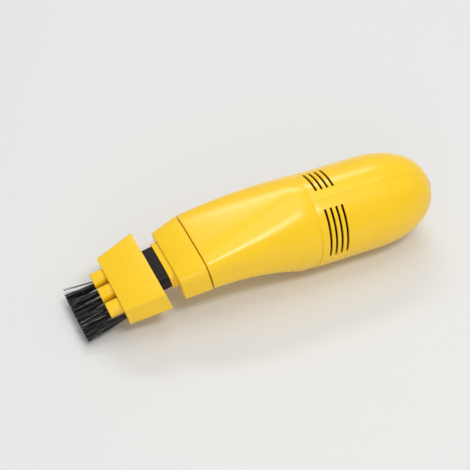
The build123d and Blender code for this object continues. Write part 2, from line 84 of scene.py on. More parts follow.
# %% [markdown]
# ## Finishes
#
# Every finish is a small tree of nodes on Object coordinates, which are metres here, so a pattern's scale is
# one over its real size. Colours are written as sRGB hex values, as a picture editor shows them, and one
# function turns them to the linear values that a shader works with. A Mix node has sockets of several kinds
# under the same names, so its two colours and its result are reached by number.

# %% Helpers for finishes
mix_first, mix_second, mix_result = 6, 7, 2


def linear(hex_code):
    """Linear colour of an sRGB hex value."""
    parts = [int(hex_code[k:k + 2], 16) / 255 for k in (0, 2, 4)]
    return [p / 12.92 if p <= 0.04045 else ((p + 0.055) / 1.055) ** 2.4 for p in parts] + [1.0]


def per_mm(size):
    """Texture scale at which a pattern's features are about this many millimetres apart."""
    return 1 / (size * mm)


def feed(tree, node, inputs):
    """Fill a node's inputs; an input is a value, or another node's output to link."""
    for socket, value in inputs.items():
        if isinstance(value, bpy.types.NodeSocket):
            tree.links.new(value, node.inputs[socket])
        else:
            node.inputs[socket].default_value = value


def add_node(tree, kind, inputs=None, **settings):
    """Add a node with its settings and its inputs."""
    made = tree.nodes.new("ShaderNode" + kind)
    for name, value in settings.items():
        setattr(made, name, value)
    feed(tree, made, inputs or {})
    return made


def new_finish(name):
    """A material with its tree, its shader and its Object coordinates."""
    finish = bpy.data.materials.new(name)
    finish.use_nodes = True
    tree = finish.node_tree
    place = add_node(tree, "TexCoord").outputs["Object"]
    return finish, tree, tree.nodes["Principled BSDF"], place


print("sRGB 80 is", round(linear("808080")[0], 3), "in linear light")

# %% [markdown]
# Moulded plastic is a smooth skin that copies a polished tool. Up close it is not perfect: the skin ripples
# a little, like orange peel, and its gloss differs slightly from place to place. The ripple could be
# modelled, but it is only a few thousandths of a millimetre deep, so a Bump node is enough to break up a
# highlight.

# %% Moulded plastics
plastic_ior, cloud_mm, gloss_mm = 1.53, 9.0, 2.5


def moulded(name, colour, shade, roughness, uneven, ripple_mm, ripple_depth_mm):
    """Moulded plastic: two close colours in soft clouds, uneven gloss and a fine ripple."""
    finish, tree, shader, place = new_finish(name)
    clouds = add_node(tree, "TexNoise", {"Vector": place, "Scale": per_mm(cloud_mm), "Detail": 3.0})
    blend = add_node(tree, "Mix", {0: clouds.outputs["Fac"], mix_first: linear(colour),
                                   mix_second: linear(shade)}, data_type="RGBA")
    gloss = add_node(tree, "TexNoise", {"Vector": place, "Scale": per_mm(gloss_mm), "Detail": 4.0})
    spread = add_node(tree, "MapRange", {"Value": gloss.outputs["Fac"], "To Min": roughness - uneven,
                                         "To Max": roughness + uneven})
    ripple = add_node(tree, "TexNoise", {"Vector": place, "Scale": per_mm(ripple_mm), "Detail": 0.0})
    relief = add_node(tree, "Bump", {"Height": ripple.outputs["Fac"], "Strength": 1.0,
                                     "Distance": ripple_depth_mm * mm})
    feed(tree, shader, {"Base Color": blend.outputs[mix_result], "Roughness": spread.outputs["Result"],
                        "Normal": relief.outputs["Normal"], "IOR": plastic_ior})
    return finish


# Gloss ABS, dyed through: a warm yellow with soft, clear highlights
yellow_abs = moulded("gloss_yellow_abs", "FBCE15", "F8C911", 0.27, 0.03, 4.0, 0.003)
# Satin polypropylene: near black, with a weak, spread-out shine, so its specular level is half the usual one
black_pp = moulded("satin_black_polypropylene", "170E0B", "120B08", 0.45, 0.06, 0.6, 0.006)
black_pp.node_tree.nodes["Principled BSDF"].inputs["Specular IOR Level"].default_value = 0.25
# Natural polypropylene: milky white, waxy
white_pp = moulded("natural_polypropylene", "DDDCD4", "D5D3CA", 0.45, 0.05, 0.8, 0.006)
# Black nylon: dark and a little waxy
black_nylon = moulded("black_nylon", "181819", "131314", 0.45, 0.05, 0.8, 0.006)
# Black ABS with a spark-eroded tool finish: dull and finely grained
black_abs = moulded("grained_black_abs", "1F1F20", "19191A", 0.50, 0.06, 0.5, 0.010)
print("plastics:", [m.name for m in bpy.data.materials])

# %% [markdown]
# Metals differ from plastics in one switch: they have no base colour of their own under the shine, so the
# metallic value is 1 and the colour tints the reflection. Drawn or turned metal carries fine lines, which a
# noise that is stretched along one axis gives.

# %% Metals
metal_uneven = 0.08
along_motor, across_motor = (0.05, 1.0, 1.0), (1.0, 0.2, 0.2)


def drawn_metal(name, colour, roughness, line_mm, line_depth_mm, stretch=along_motor):
    """Drawn or turned metal with fine lines, along the motor's axis or across it."""
    finish, tree, shader, place = new_finish(name)
    drawn = add_node(tree, "Mapping", {"Vector": place, "Scale": stretch})
    lines = add_node(tree, "TexNoise", {"Vector": drawn.outputs["Vector"], "Scale": per_mm(line_mm),
                                        "Detail": 3.0})
    spread = add_node(tree, "MapRange", {"Value": lines.outputs["Fac"], "To Min": roughness - metal_uneven,
                                         "To Max": roughness + metal_uneven})
    relief = add_node(tree, "Bump", {"Height": lines.outputs["Fac"], "Strength": 1.0,
                                     "Distance": line_depth_mm * mm})
    feed(tree, shader, {"Base Color": linear(colour), "Metallic": 1.0,
                        "Roughness": spread.outputs["Result"], "Normal": relief.outputs["Normal"]})
    return finish


# Plated steel of the motor: grey, with a brushed shine
plated_steel = drawn_metal("plated_steel", "B4B5B8", 0.35, 0.25, 0.004)
# Zinc-plated steel of the screws: a brighter skin
zinc_steel = drawn_metal("zinc_plated_steel", "C6C8CC", 0.30, 0.15, 0.004)
# Plain brass of the terminals and the bushes: pale gold
plain_brass = drawn_metal("plain_brass", "D9B36A", 0.32, 0.20, 0.004)
# Enamelled copper wire: warm brown, its turns lying across the motor's axis
copper_wire = drawn_metal("enamelled_copper_wire", "B8642E", 0.38, 0.30, 0.060, across_motor)
print("finishes so far:", len(bpy.data.materials))

# %% [markdown]
# Two finishes are neither plastic nor metal. Rubber scatters light and hardly shines, and a fine grain breaks
# up what is left. Ferrite is a baked ceramic, dark and dull, in specks of two close tones.

# %% Rubber and ferrite


def soft_rubber(name, colour, grain_mm, grain_depth_mm, smoothest, dullest):
    """Soft rubber: dull, with a fine grain."""
    finish, tree, shader, place = new_finish(name)
    grain = add_node(tree, "TexNoise", {"Vector": place, "Scale": per_mm(grain_mm), "Detail": 4.0})
    relief = add_node(tree, "Bump", {"Height": grain.outputs["Fac"], "Strength": 1.0,
                                     "Distance": grain_depth_mm * mm})
    spread = add_node(tree, "MapRange", {"Value": grain.outputs["Fac"], "To Min": smoothest,
                                         "To Max": dullest})
    feed(tree, shader, {"Base Color": linear(colour), "Roughness": spread.outputs["Result"],
                        "Normal": relief.outputs["Normal"]})
    return finish


def speckled(name, dark, pale, speck_mm, smoothest, dullest):
    """A surface in two close tones, in specks of a given size."""
    finish, tree, shader, place = new_finish(name)
    specks = add_node(tree, "TexNoise", {"Vector": place, "Scale": per_mm(speck_mm), "Detail": 1.0})
    blend = add_node(tree, "Mix", {0: specks.outputs["Fac"], mix_first: linear(dark),
                                   mix_second: linear(pale)}, data_type="RGBA")
    spread = add_node(tree, "MapRange", {"Value": specks.outputs["Fac"], "To Min": smoothest,
                                         "To Max": dullest})
    feed(tree, shader, {"Base Color": blend.outputs[mix_result], "Roughness": spread.outputs["Result"]})
    return finish


# Moulded rubber: black and dull
black_rubber = soft_rubber("soft_black_rubber", "1B1B1C", 0.3, 0.02, 0.62, 0.85)
# Sintered ferrite: dark grey, dull and speckled
dark_ferrite = speckled("sintered_ferrite", "2B2B2D", "3A3A3C", 0.4, 0.54, 0.66)
print("finishes so far:", len(bpy.data.materials))

# %% [markdown]
# The last two finishes are fibres. Nylon filament is drawn smooth, so each bristle has a narrow shine, and
# streaks along the brush make a strand paler here and there. These pale streaks are partly a tone that
# differs from strand to strand and partly a painted highlight that stands in for the strands' shine. Filter
# cloth is a mat of crossed fibres, drawn with two waves that are coarser than the real thread, so that they
# show in a picture of this size. Its hollows between the raised fibres get the darker tone, which is painted
# shade. A wave repeats about three times within its size, so 2.2 mm gives fibres about 0.7 mm apart.

# %% Filament and filter cloth
streak_mm, streak_droop, streak_stretch = 0.45, 14.2, (0.04, 1.0, 1.0)
streak_start, streak_full, filament_roughness = 0.5, 0.72, 0.28
fibre_mm, fibre_slants, fibre_depth_mm, cloth_roughness = 2.2, (35, -50), 0.12, 0.95


def nylon_filament(name, dark, pale):
    """Nylon strands with streaks of a paler tone along them: partly tone that differs, partly painted
    highlight.
    """
    finish, tree, shader, place = new_finish(name)
    along = add_node(tree, "Mapping", {"Vector": place, "Rotation": (0, math.radians(-streak_droop), 0),
                                       "Scale": streak_stretch})
    # The paler streaks are partly painted highlight, standing in for the strands' narrow shine
    tone_and_sheen_streaks = add_node(tree, "TexNoise", {"Vector": along.outputs["Vector"], "Scale": per_mm(streak_mm),
                                          "Detail": 1.0})
    tone = add_node(tree, "MapRange", {"Value": tone_and_sheen_streaks.outputs["Fac"], "From Min": streak_start,
                                       "From Max": streak_full})
    blend = add_node(tree, "Mix", {0: tone.outputs["Result"], mix_first: linear(dark),
                                   mix_second: linear(pale)}, data_type="RGBA")
    feed(tree, shader, {"Base Color": blend.outputs[mix_result], "Roughness": filament_roughness,
                        "IOR": plastic_ior})
    return finish


def filter_felt(name, hollow_shade_tone, fibre_tone):
    """Non-woven filter cloth: fibres that cross at a slant, with painted shade in the hollows between them.
    """
    finish, tree, shader, place = new_finish(name)
    heights = []
    for slant in fibre_slants:
        turned = add_node(tree, "Mapping", {"Vector": place, "Rotation": (math.radians(slant), 0, 0)})
        wave = add_node(tree, "TexWave", {"Vector": turned.outputs["Vector"], "Scale": per_mm(fibre_mm),
                                          "Distortion": 6.0, "Detail": 3.0}, bands_direction="Y")
        heights.append(wave.outputs["Fac"])
    both = add_node(tree, "Math", {0: heights[0], 1: heights[1]}, operation="MAXIMUM")
    # Where the fibres lie low the colour goes to the darker tone: painted shade in the hollows
    blend = add_node(tree, "Mix", {0: both.outputs["Value"], mix_first: linear(hollow_shade_tone),
                                   mix_second: linear(fibre_tone)}, data_type="RGBA")
    relief = add_node(tree, "Bump", {"Height": both.outputs["Value"], "Strength": 1.0,
                                     "Distance": fibre_depth_mm * mm})
    feed(tree, shader, {"Base Color": blend.outputs[mix_result], "Roughness": cloth_roughness,
                        "Normal": relief.outputs["Normal"]})
    return finish


# Drawn nylon: black, with a clear narrow shine; its pale streaks are partly painted highlight
black_filament = nylon_filament("black_nylon_filament", "080708", "4A4648")
# Pressed polyester fibres: off-white and quite dull, with painted shade in their hollows
filter_fabric = filter_felt("nonwoven_filter_cloth", "C9C7BC", "EDECE4")
print("all finishes:", len(bpy.data.materials))

# %% [markdown]
# ## Shapes from loops
#
# Most shells of this object are ovals or rounded rectangles that change along an axis. They could be carved
# out of subdivided boxes, but then no row of faces would follow an edge. So each shell is a chain of closed
# loops of vertices, bridged one to the next. A loop starts as a circle from an operator, and its vertices are
# then drawn out to the outline, so all loops line up. Edges that show are bevelled afterwards, because real
# mouldings have no knife edges.

# %% Outlines
around, small_count = 160, 48


def rounded(turn, half_width, half_height, corner, low_corner=None):
    """Point of a rounded rectangle, a share of a full turn from the middle of its right-hand side."""
    quarter = int(4 * turn) % 4
    corner = low_corner if low_corner and quarter > 1 else corner
    share = 4 * turn - int(4 * turn)
    share = 1 - share if quarter % 2 else share
    side, top_run = half_height - corner, half_width - corner
    arc = math.pi / 2 * corner
    walked = share * (side + arc + top_run)
    if walked <= side:
        x, y = half_width, walked
    elif walked < side + arc:
        angle = (walked - side) / corner
        x, y = top_run + corner * math.cos(angle), side + corner * math.sin(angle)
    else:
        x, y = top_run - (walked - side - arc), half_height
    return (x if quarter in (0, 3) else -x), (y if quarter < 2 else -y)


def oval(turn, half_width, half_height, fullness):
    """Point of an oval; a fullness of 2 is an ellipse, and a larger one is nearer to a rectangle."""
    cosine, sine = math.cos(2 * math.pi * turn), math.sin(2 * math.pi * turn)
    return (math.copysign(abs(cosine) ** (2 / fullness), cosine) * half_width,
            math.copysign(abs(sine) ** (2 / fullness), sine) * half_height)


print("corner of a full oval:", [round(size, 3) for size in oval(0.125, 1, 1, 4)])

# %% [markdown]
# These helpers turn an outline into geometry: a loop, a skin over a row of loops, a softened edge, and two
# simple bars that later cut holes or stand as posts.

# %% Helpers for loops
edge_segments = 3


def loop(bm, place, *sizes, count=around, outline=rounded):
    """Closed loop of vertices on an outline, whose sizes are in millimetres."""
    verts = bmesh.ops.create_circle(bm, segments=count, radius=mm)["verts"]
    for k, vert in enumerate(verts):
        vert.co = place @ (Vector((*outline(k / count, *sizes), 0)) * mm)
    return verts


def own_edges(verts):
    """The edges that join a loop's own vertices, each once and in the same order every run."""
    own = set(verts)
    return list(dict.fromkeys(e for v in verts for e in v.link_edges if e.other_vert(v) in own))


def chain(bm, loops, closed=True):
    """Skin along a row of loops: back to the first if it is closed, and otherwise with both ends filled."""
    rows = [own_edges(verts) for verts in loops]
    for first, second in zip(rows, rows[1:] + rows[:1] if closed else rows[1:]):
        bmesh.ops.bridge_loops(bm, edges=first + second)
    for ends in [] if closed else (rows[0], rows[-1]):
        bmesh.ops.edgeloop_fill(bm, edges=ends)


def soften(bm, verts, width):
    """Round off the edge along a loop, to a width in millimetres."""
    bmesh.ops.bevel(bm, geom=own_edges(verts), offset=width * mm, offset_type="OFFSET",
                    segments=edge_segments, profile=0.5, affect="EDGES", clamp_overlap=True, material=-1)


def prism(bm, back, front, half_width, half_height, corner, count=around, edge=0.0):
    """Solid bar of one section between two places, with its front edge rounded off."""
    loops = [loop(bm, place, half_width, half_height, corner, count=count) for place in (back, front)]
    chain(bm, loops, closed=False)
    if edge:
        soften(bm, loops[1], edge)


def peg(bm, back, front, radius, count=small_count, edge=0.0):
    """Solid round bar between two places."""
    prism(bm, back, front, radius, radius, radius, count, edge)


print("vertices in a loop:", around, "or", small_count)

# %% [markdown]
# More helpers serve every piece. One cuts shapes out of a mesh, or joins them to it, with exact Boolean
# modifiers, for holes that no row of faces follows. Another makes the finished object, ties it to its body
# in the frame, and hides the solid that it stands in for.

# %% Helpers for pieces
weld_mm, sharp_degrees = 0.001, 35


def weld(bm):
    """Merge doubles, then turn the faces outwards."""
    bmesh.ops.remove_doubles(bm, verts=bm.verts, dist=weld_mm * mm)
    bmesh.ops.recalc_face_normals(bm, faces=bm.faces)


def to_object(name, bm):
    """Make an object of a bmesh, put it in the scene and free the bmesh."""
    mesh = bpy.data.meshes.new(name)
    bm.to_mesh(mesh)
    bm.free()
    made = bpy.data.objects.new(name, mesh)
    bpy.context.scene.collection.objects.link(made)
    return made


def combine(bm, operation, *tools):
    """Join shapes to a mesh, or cut them out of it or down to them, and give the result as a new mesh."""
    holders = []
    for part in (bm, *tools):
        weld(part)
        holders.append(to_object("holder", part))
    for tool in holders[1:]:
        step = holders[0].modifiers.new("combine", "BOOLEAN")
        step.operation, step.solver, step.object = operation, "EXACT", tool
    result = holders[0].evaluated_get(bpy.context.evaluated_depsgraph_get())
    joined = bmesh.new()
    joined.from_mesh(result.to_mesh())
    result.to_mesh_clear()
    for holder in holders:
        bpy.data.objects.remove(holder)
    return joined


def finish_piece(name, bm, body, finish, node):
    """Turn a mesh into a piece that rides on a body, and hide the solid of the frame that it stands in for.
    """
    weld(bm)
    made = to_object(name, bm)
    made.data.materials.append(finish)
    made.data.shade_smooth()
    made.data.set_sharp_from_angle(angle=math.radians(sharp_degrees))
    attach(made, body)
    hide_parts(node)
    print(name, "faces:", len(made.data.polygons))


print("edges over", sharp_degrees, "degrees stay sharp")

# %% [markdown]
# ## Where things are
#
# Two axes carry the whole object. The motor's axis is level, and the housing and the cup are built round it.
# From the fine seam forward the nose, the duct and the head follow a second axis that droops. Both could be
# typed in, but the frame's own joints give them exactly: the fan spins on the first, and the nose slides off
# along the second.

# %% Axes and places
joints = {joint["name"]: joint for joint in frame["joints"]}
axis_z = joints["fan_spin"]["pos_m"][2]
axis_point = Vector((0, 0, axis_z))
droop = Vector(joints["nose_slide"]["axis"])
lift = Vector((-droop.z, 0.0, droop.x))
forward, left, top = Vector((1, 0, 0)), Vector((0, 1, 0)), Vector((0, 0, 1))
rim_x, housing_radius = 12.8, 19.0
cup_length, seam_rise = 46.0, 1.9
seam_place = Vector(((rim_x + cup_length) * mm, 0.0, axis_z + seam_rise * mm))


def place_of(origin, across, up, ahead):
    """Matrix that puts a flat outline at a place, from its three directions."""
    return Matrix.Translation(origin) @ Matrix((across, up, ahead)).transposed().to_4x4()


def level(x, rise=0.0):
    """Place square to the motor's axis, at x and at a rise above it in millimetres."""
    return place_of(Vector((x * mm, 0, axis_z + rise * mm)), left, top, forward)


def drooped(distance, rise=0.0, side=0.0, wedge=0.0):
    """Place square to the drooping axis, a distance beyond the seam, tipped by a wedge angle."""
    origin = seam_place + (droop * distance + lift * rise + left * side) * mm
    return place_of(origin, left, lift, droop) @ Matrix.Rotation(math.radians(-wedge), 4, "X")


def trace(bm, points, up, closed=True):
    """Vertices and edges of an outline of (x, radius) points, in a plane through the motor's axis."""
    verts = [bm.verts.new(forward * x * mm + axis_point + up * r * mm) for x, r in points]
    edges = [bm.edges.new(pair) for pair in zip(verts, verts[1:] + verts[:1] if closed else verts[1:])]
    return verts, edges


print("axis at", round(axis_z / mm, 2), "mm, droop", round(math.degrees(math.asin(-droop.z)), 1), "degrees")

# %% [markdown]
# ## The motor housing
#
# The housing is a turned shape: a barrel with a long dome behind it. It is moulded in two halves that meet
# along a fine line, leaning to the left of the top. A whole turned shell could be cut in two, but here each
# half is one closed outline, spun through half a turn, and then set back by half the width of the line, so
# both halves have clean edges. First come the outline's two runs: along the outside from the tail to the rim,
# with points where the vent slits begin and end, and back along the inside, where the wall is thinner at the
# slits.

# %% Sizes of the housing
housing_barrel, dome_length, dome_fullness, housing_wall = 27.8, 29.5, 2.3, 1.6
spigot_step, spigot_length, spigot_wall = 2.4, 6.7, 1.4
tail_flat, grommet_hole = 5.2, 3.4
slit_count, slit_pitch, slit_width, slit_from_rim = 4, 2.45, 1.05, 3.8
vent_wall, vent_margin = 0.7, 0.6

dome_x = rim_x - housing_barrel
inner_radius, vent_radius = housing_radius - housing_wall, housing_radius - vent_wall
spigot_radius, spigot_end = housing_radius - spigot_step, rim_x + spigot_length
spigot_bore = spigot_radius - spigot_wall
tail_x = dome_x - dome_length * (1 - (tail_flat / housing_radius) ** dome_fullness) ** (1 / dome_fullness)
tail_inner, ledge_x = tail_x + housing_wall, rim_x - housing_wall
slits = [rim_x - slit_from_rim - k * slit_pitch for k in range(slit_count)]
slit_edges = sorted(x + side * slit_width / 2 for x in slits for side in (-1, 1))
vent_ends = (slit_edges[-1] + vent_margin, slit_edges[0] - vent_margin)
print("housing from", round(tail_x, 1), "to", round(spigot_end, 1), "mm")

# %% [markdown]
# The dome is an oval, a little fuller than an ellipse, as the photograph's outline shows. The spigot in front
# is what the dust cup pushes on to.

# %% Outline of the housing's wall
dome_steps, rim_steps, rim_round = 40, 4, 0.2


def dome(length, radius, x_end):
    """Points of the dome's oval, from the barrel back to where it is cut square."""
    last = math.acos(((dome_x - x_end) / length) ** (dome_fullness / 2))
    turns = [math.pi / 2 - (math.pi / 2 - last) * k / dome_steps for k in range(dome_steps + 1)]
    power = 2 / dome_fullness
    return [(dome_x - length * max(math.cos(t), 0.0) ** power, radius * math.sin(t) ** power) for t in turns]


rim = [(rim_x - rim_round * (1 - math.sin(t)), housing_radius - rim_round * (1 - math.cos(t)))
       for t in (math.pi / 2 / rim_steps * k for k in range(rim_steps + 1))]
outer_dome = dome(dome_length, housing_radius, tail_x)
housing_outline = outer_dome[::-1] + [(x, housing_radius) for x in slit_edges] + rim
housing_outline += [(rim_x, spigot_radius), (spigot_end, spigot_radius), (spigot_end, spigot_bore),
                    (ledge_x, spigot_bore), (ledge_x, inner_radius)]
housing_outline += [(vent_ends[0], inner_radius), (vent_ends[0], vent_radius)]
housing_outline += [(x, vent_radius) for x in reversed(slit_edges)]
housing_outline += [(vent_ends[1], vent_radius), (vent_ends[1], inner_radius)]
housing_outline += dome(dome_length - housing_wall, inner_radius, tail_inner)
housing_outline += [(tail_inner, grommet_hole), (tail_x, grommet_hole)]
print("points in the outline:", len(housing_outline))

# %% [markdown]
# Boolean cuts could make the slits. Instead their faces are taken out of both walls and the two rims of each
# hole are bridged, so their edges stay crisp and follow the turned rows.

# %% Spin the housing's halves
parting_tilt, parting_line, half_turn_steps = math.radians(22.0), 0.06, 360
slit_start, slit_end_left, slit_end_right, parting_margin = 12.5, 78.0, 50.0, 1.0
parting_side = Vector((0, math.cos(parting_tilt), -math.sin(parting_tilt)))
parting_top = Vector((0, math.sin(parting_tilt), math.cos(parting_tilt)))


def angle_round(point):
    """Angle of a point round the motor's axis, in degrees from the parting line at the top."""
    out = point - axis_point
    return abs(math.degrees(math.atan2(out.dot(parting_side), out.dot(parting_top))))


def in_slit(face, slit_end):
    """Whether a face of the barrel lies where a slit goes."""
    middle = face.calc_center_median()
    beside = any(abs(middle.x / mm - x) < slit_width / 2 for x in slits)
    return beside and slit_start < angle_round(middle) < slit_end


def housing_half(side, slit_end):
    """One half of the housing; side is 1 for the left and -1 for the right."""
    bm = bmesh.new()
    verts, edges = trace(bm, housing_outline, parting_top)
    spun = bmesh.ops.spin(bm, geom=verts + edges, cent=axis_point, axis=forward, angle=-side * math.pi,
                          steps=half_turn_steps, use_merge=False, use_duplicate=False)
    last = [e for e in spun["geom_last"] if isinstance(e, bmesh.types.BMEdge)]
    bmesh.ops.delete(bm, geom=[f for f in bm.faces if in_slit(f, slit_end)], context="FACES")
    rims = [e for e in bm.edges if e.is_boundary
            and parting_margin < angle_round((e.verts[0].co + e.verts[1].co) / 2) < 180 - parting_margin]
    for x in slits:
        hole = [e for e in rims if all(abs(v.co.x / mm - x) < slit_width for v in e.verts)]
        bmesh.ops.bridge_loops(bm, edges=hole)
    bmesh.ops.edgeloop_fill(bm, edges=edges)
    bmesh.ops.edgeloop_fill(bm, edges=last)
    bmesh.ops.translate(bm, verts=bm.verts, vec=parting_side * side * parting_line / 2 * mm)
    return bm


left_half, right_half = housing_half(1, slit_end_left), housing_half(-1, slit_end_right)
print("faces of the halves:", len(left_half.faces), len(right_half.faces))

# %% [markdown]
# The left half holds the small flat on the underside, which the cleaner rests on. It is a cut with the
# floor's plane, and the hole that this leaves is filled.

# %% Cut the flat under the left half
under = bmesh.ops.bisect_plane(left_half, geom=left_half.verts[:] + left_half.edges[:] + left_half.faces[:],
                               plane_co=(0, 0, 0), plane_no=(0, 0, -1), clear_outer=True)
foot = [e for e in under["geom_cut"] if isinstance(e, bmesh.types.BMEdge)]
bmesh.ops.edgeloop_fill(left_half, edges=foot)
finish_piece("left_housing", left_half, "housing", yellow_abs, "housing_left")

# %% [markdown]
# The right half carries more: the switch's shallow recess, on a thicker pad, and two posts with holes for the
# screws that hold the halves together. They cross the turned wall at angles that no row of its faces follows,
# so they are joined on and cut with Boolean modifiers. First come their sizes and places.

# %% Places on the right half
switch_x, switch_travel, knob_fit = -14.0, 2.5, 0.3
knob_length, knob_width = 9.0, 6.0
recess_floor, pad_bottom, pad_margin = 17.9, 16.4, 1.0
recess_corner, pad_corner, stem_corner = 0.5, 0.2, 0.1
stem_length, stem_width = 2.0, 1.6
recess_x = switch_x + switch_travel / 2
recess_half = ((knob_length + switch_travel) / 2 + knob_fit, knob_width / 2 + knob_fit)
screw_sites = [(-8.0, 14.6), (-37.0, 6.0)]
screw_seat, screw_hole, head_hole, post_radius = 3.5, 1.05, 1.9, 2.2


def switch_place(x, out):
    """Place on the right-hand side, at x and a distance out from the motor's axis."""
    origin = axis_point + (forward * x - left * out) * mm
    return place_of(origin, forward, top, -left)


def screw_place(site, right):
    """Place across a screw's axis, a distance to the right of the parting plane."""
    origin = axis_point + (forward * site[0] - parting_top * site[1] - parting_side * right) * mm
    return place_of(origin, forward, forward.cross(parting_side), -parting_side)


print("recess:", [round(2 * half, 1) for half in recess_half], "mm, screws:", len(screw_sites))

# %% [markdown]
# A post has to end inside the wall and not show outside. So a core is spun along the middle of the wall, and
# the posts are cut down to what lies in it.

# %% Posts and pad
core_front, core_steps = 0.0, 90
wall_share = 1 - housing_wall / 2 / housing_radius
middle_wall = [(x, r * wall_share) for x, r in outer_dome]
core = bmesh.new()
core_outline = [(core_front, 0.0), (core_front, middle_wall[0][1]), *middle_wall, (tail_x, 0.0)]
core_verts, core_edges = trace(core, core_outline, parting_top, closed=False)
bmesh.ops.spin(core, geom=core_verts + core_edges, cent=axis_point, axis=forward, angle=2 * math.pi,
               steps=core_steps, use_merge=True, use_duplicate=False)
posts = bmesh.new()
for site in screw_sites:
    peg(posts, screw_place(site, parting_line / 2), screw_place(site, housing_radius), post_radius)
posts = combine(posts, "INTERSECT", core)
pad = bmesh.new()
prism(pad, switch_place(recess_x, pad_bottom), switch_place(recess_x, recess_floor),
      *(half + pad_margin for half in recess_half), pad_corner, small_count)
print("faces of posts and pad:", len(posts.faces), len(pad.faces))

# %% [markdown]
# The wide holes are the recess and the wells of the screw heads, and the narrow ones are the stem's slot and
# the screw holes below them. Shapes that overlap make a poor cutting tool, so they are two tools, which reach
# a little beyond what they cut.

# %% Cut the right half
beyond, overlap = 1.0, 0.1
wide_cuts, narrow_cuts = bmesh.new(), bmesh.new()
prism(wide_cuts, switch_place(recess_x, recess_floor), switch_place(recess_x, housing_radius + beyond),
      *recess_half, recess_corner, small_count)
slot_half = ((stem_length + switch_travel) / 2 + knob_fit, stem_width / 2 + knob_fit)
prism(narrow_cuts, switch_place(recess_x, pad_bottom - beyond),
      switch_place(recess_x, recess_floor + overlap), *slot_half, stem_corner, small_count)
for site in screw_sites:
    peg(wide_cuts, screw_place(site, screw_seat), screw_place(site, housing_radius), head_hole)
    peg(narrow_cuts, screw_place(site, -beyond), screw_place(site, screw_seat + overlap), screw_hole)
right_half = combine(right_half, "UNION", posts, pad)
right_half = combine(right_half, "DIFFERENCE", wide_cuts, narrow_cuts)
finish_piece("right_housing", right_half, "housing", yellow_abs, "housing_right")

# %% [markdown]
# ## The dust cup
#
# The cup starts round, where it pushes on to the housing, and ends as a full oval at the seam, tipped to suit
# the droop. A straight loft between its ends would look stiff, so three sections fix it, each an oval that is
# fuller than the one before. The loops between them are ovals too, whose place, tip and sizes follow a smooth
# curve through the three, so the cup bulges everywhere and its highlights run clean.

# %% Sections of the cup
cup_skirt, cup_rise, cup_steps, middle_share = 6.2, 0.6, 48, 0.45
middle_x, middle_rise = 24.1, 3.0
round_fullness, shell_fullness = 2.0, 4.0
round_sizes = (housing_radius, housing_radius, round_fullness)
middle_sizes = (17.6, 13.2, 2.7)
seam_sizes = (16.5, 9.0, shell_fullness)
fixed_sections = ((level(rim_x + cup_skirt, cup_rise), round_sizes),
                  (level(rim_x + middle_x, middle_rise), middle_sizes),
                  (drooped(0), seam_sizes))


def cup_sections(bm, wall):
    """Loops of the cup from its round skirt to the seam, for a distance in from the outer face."""
    loops = []
    for k in range(cup_steps + 1):
        # Each weight is 1 at its own section and 0 at the other two
        u, m = k / cup_steps, middle_share
        weights = ((u - m) * (u - 1) / m, u * (u - 1) / (m * (m - 1)), u * (u - m) / (1 - m))
        fixed = list(zip(weights, fixed_sections))
        origin = sum((place.translation * weight for weight, (place, _) in fixed), Vector())
        up = sum((place.col[1].xyz * weight for weight, (place, _) in fixed), Vector()).normalized()
        half_width, half_height, fullness = [sum(weight * sizes[n] for weight, (_, sizes) in fixed)
                                             for n in range(3)]
        loops.append(loop(bm, place_of(origin, left, up, left.cross(up)), half_width - wall,
                          half_height - wall, fullness, outline=oval))
    return loops


print("loops along the cup:", cup_steps + 1)

# %% [markdown]
# The inner wall is made in the same way from smaller sections. Behind it comes the round bore that slides on
# the spigot, and the whole chain closes on itself, so the cup has a real wall.

# %% Loft the cup
cup_wall, cup_gap, cup_fit = 1.5, 0.12, 0.25
cup_back_round, cup_front_round = 0.25, 0.15

cup = bmesh.new()
skirt = loop(cup, level(rim_x + cup_gap, cup_rise), *round_sizes, outline=oval)
outside, inside = cup_sections(cup, 0.0), cup_sections(cup, cup_wall)
cup_bore = spigot_radius + cup_fit
bore_loops = [loop(cup, level(x), cup_bore, cup_bore, round_fullness, outline=oval)
              for x in (spigot_end + cup_gap, rim_x + cup_gap)]
chain(cup, [skirt] + outside + inside[::-1] + bore_loops)
soften(cup, skirt, cup_back_round)
soften(cup, outside[-1], cup_front_round)
finish_piece("dust_cup", cup, "cup", yellow_abs, "front_shell")

# %% [markdown]
# ## The nose
#
# The nose is a hollow moulding with a plug behind, which goes into the cup, and a short neck in front, which
# holds the duct. It could be joined from blocks, but one closed chain of loops makes it in one go: from the
# plug, out to the shell, forward to its blunt front, along the neck, and back inside to the hollow. In two
# flat rings that the assembly hides, behind the shell and at the front of the hollow, the skin crosses over
# itself.

# %% Loft the nose
plug_back, nose_back, nose_wedge, nose_front = -4.0, 0.69, 1.5, 11.75
neck_front, neck_rise, nose_front_rise = 14.25, 1.2, -0.5
tube_back, nose_hollow_front = 5.75, 10.15
plug_bore, plug_section, plug_foot_section = (12.7, 5.2, 2.2), (14.0, 6.5, 3.5), (14.33, 6.83, 3.83)
front_sizes, neck_section = (14.5, 7.6, 5.4), (10.2, 4.8, 3.5)
duct_section, nose_hollow_section = (9.4, 4.0, 2.7), (11.6, 6.0, 3.4)

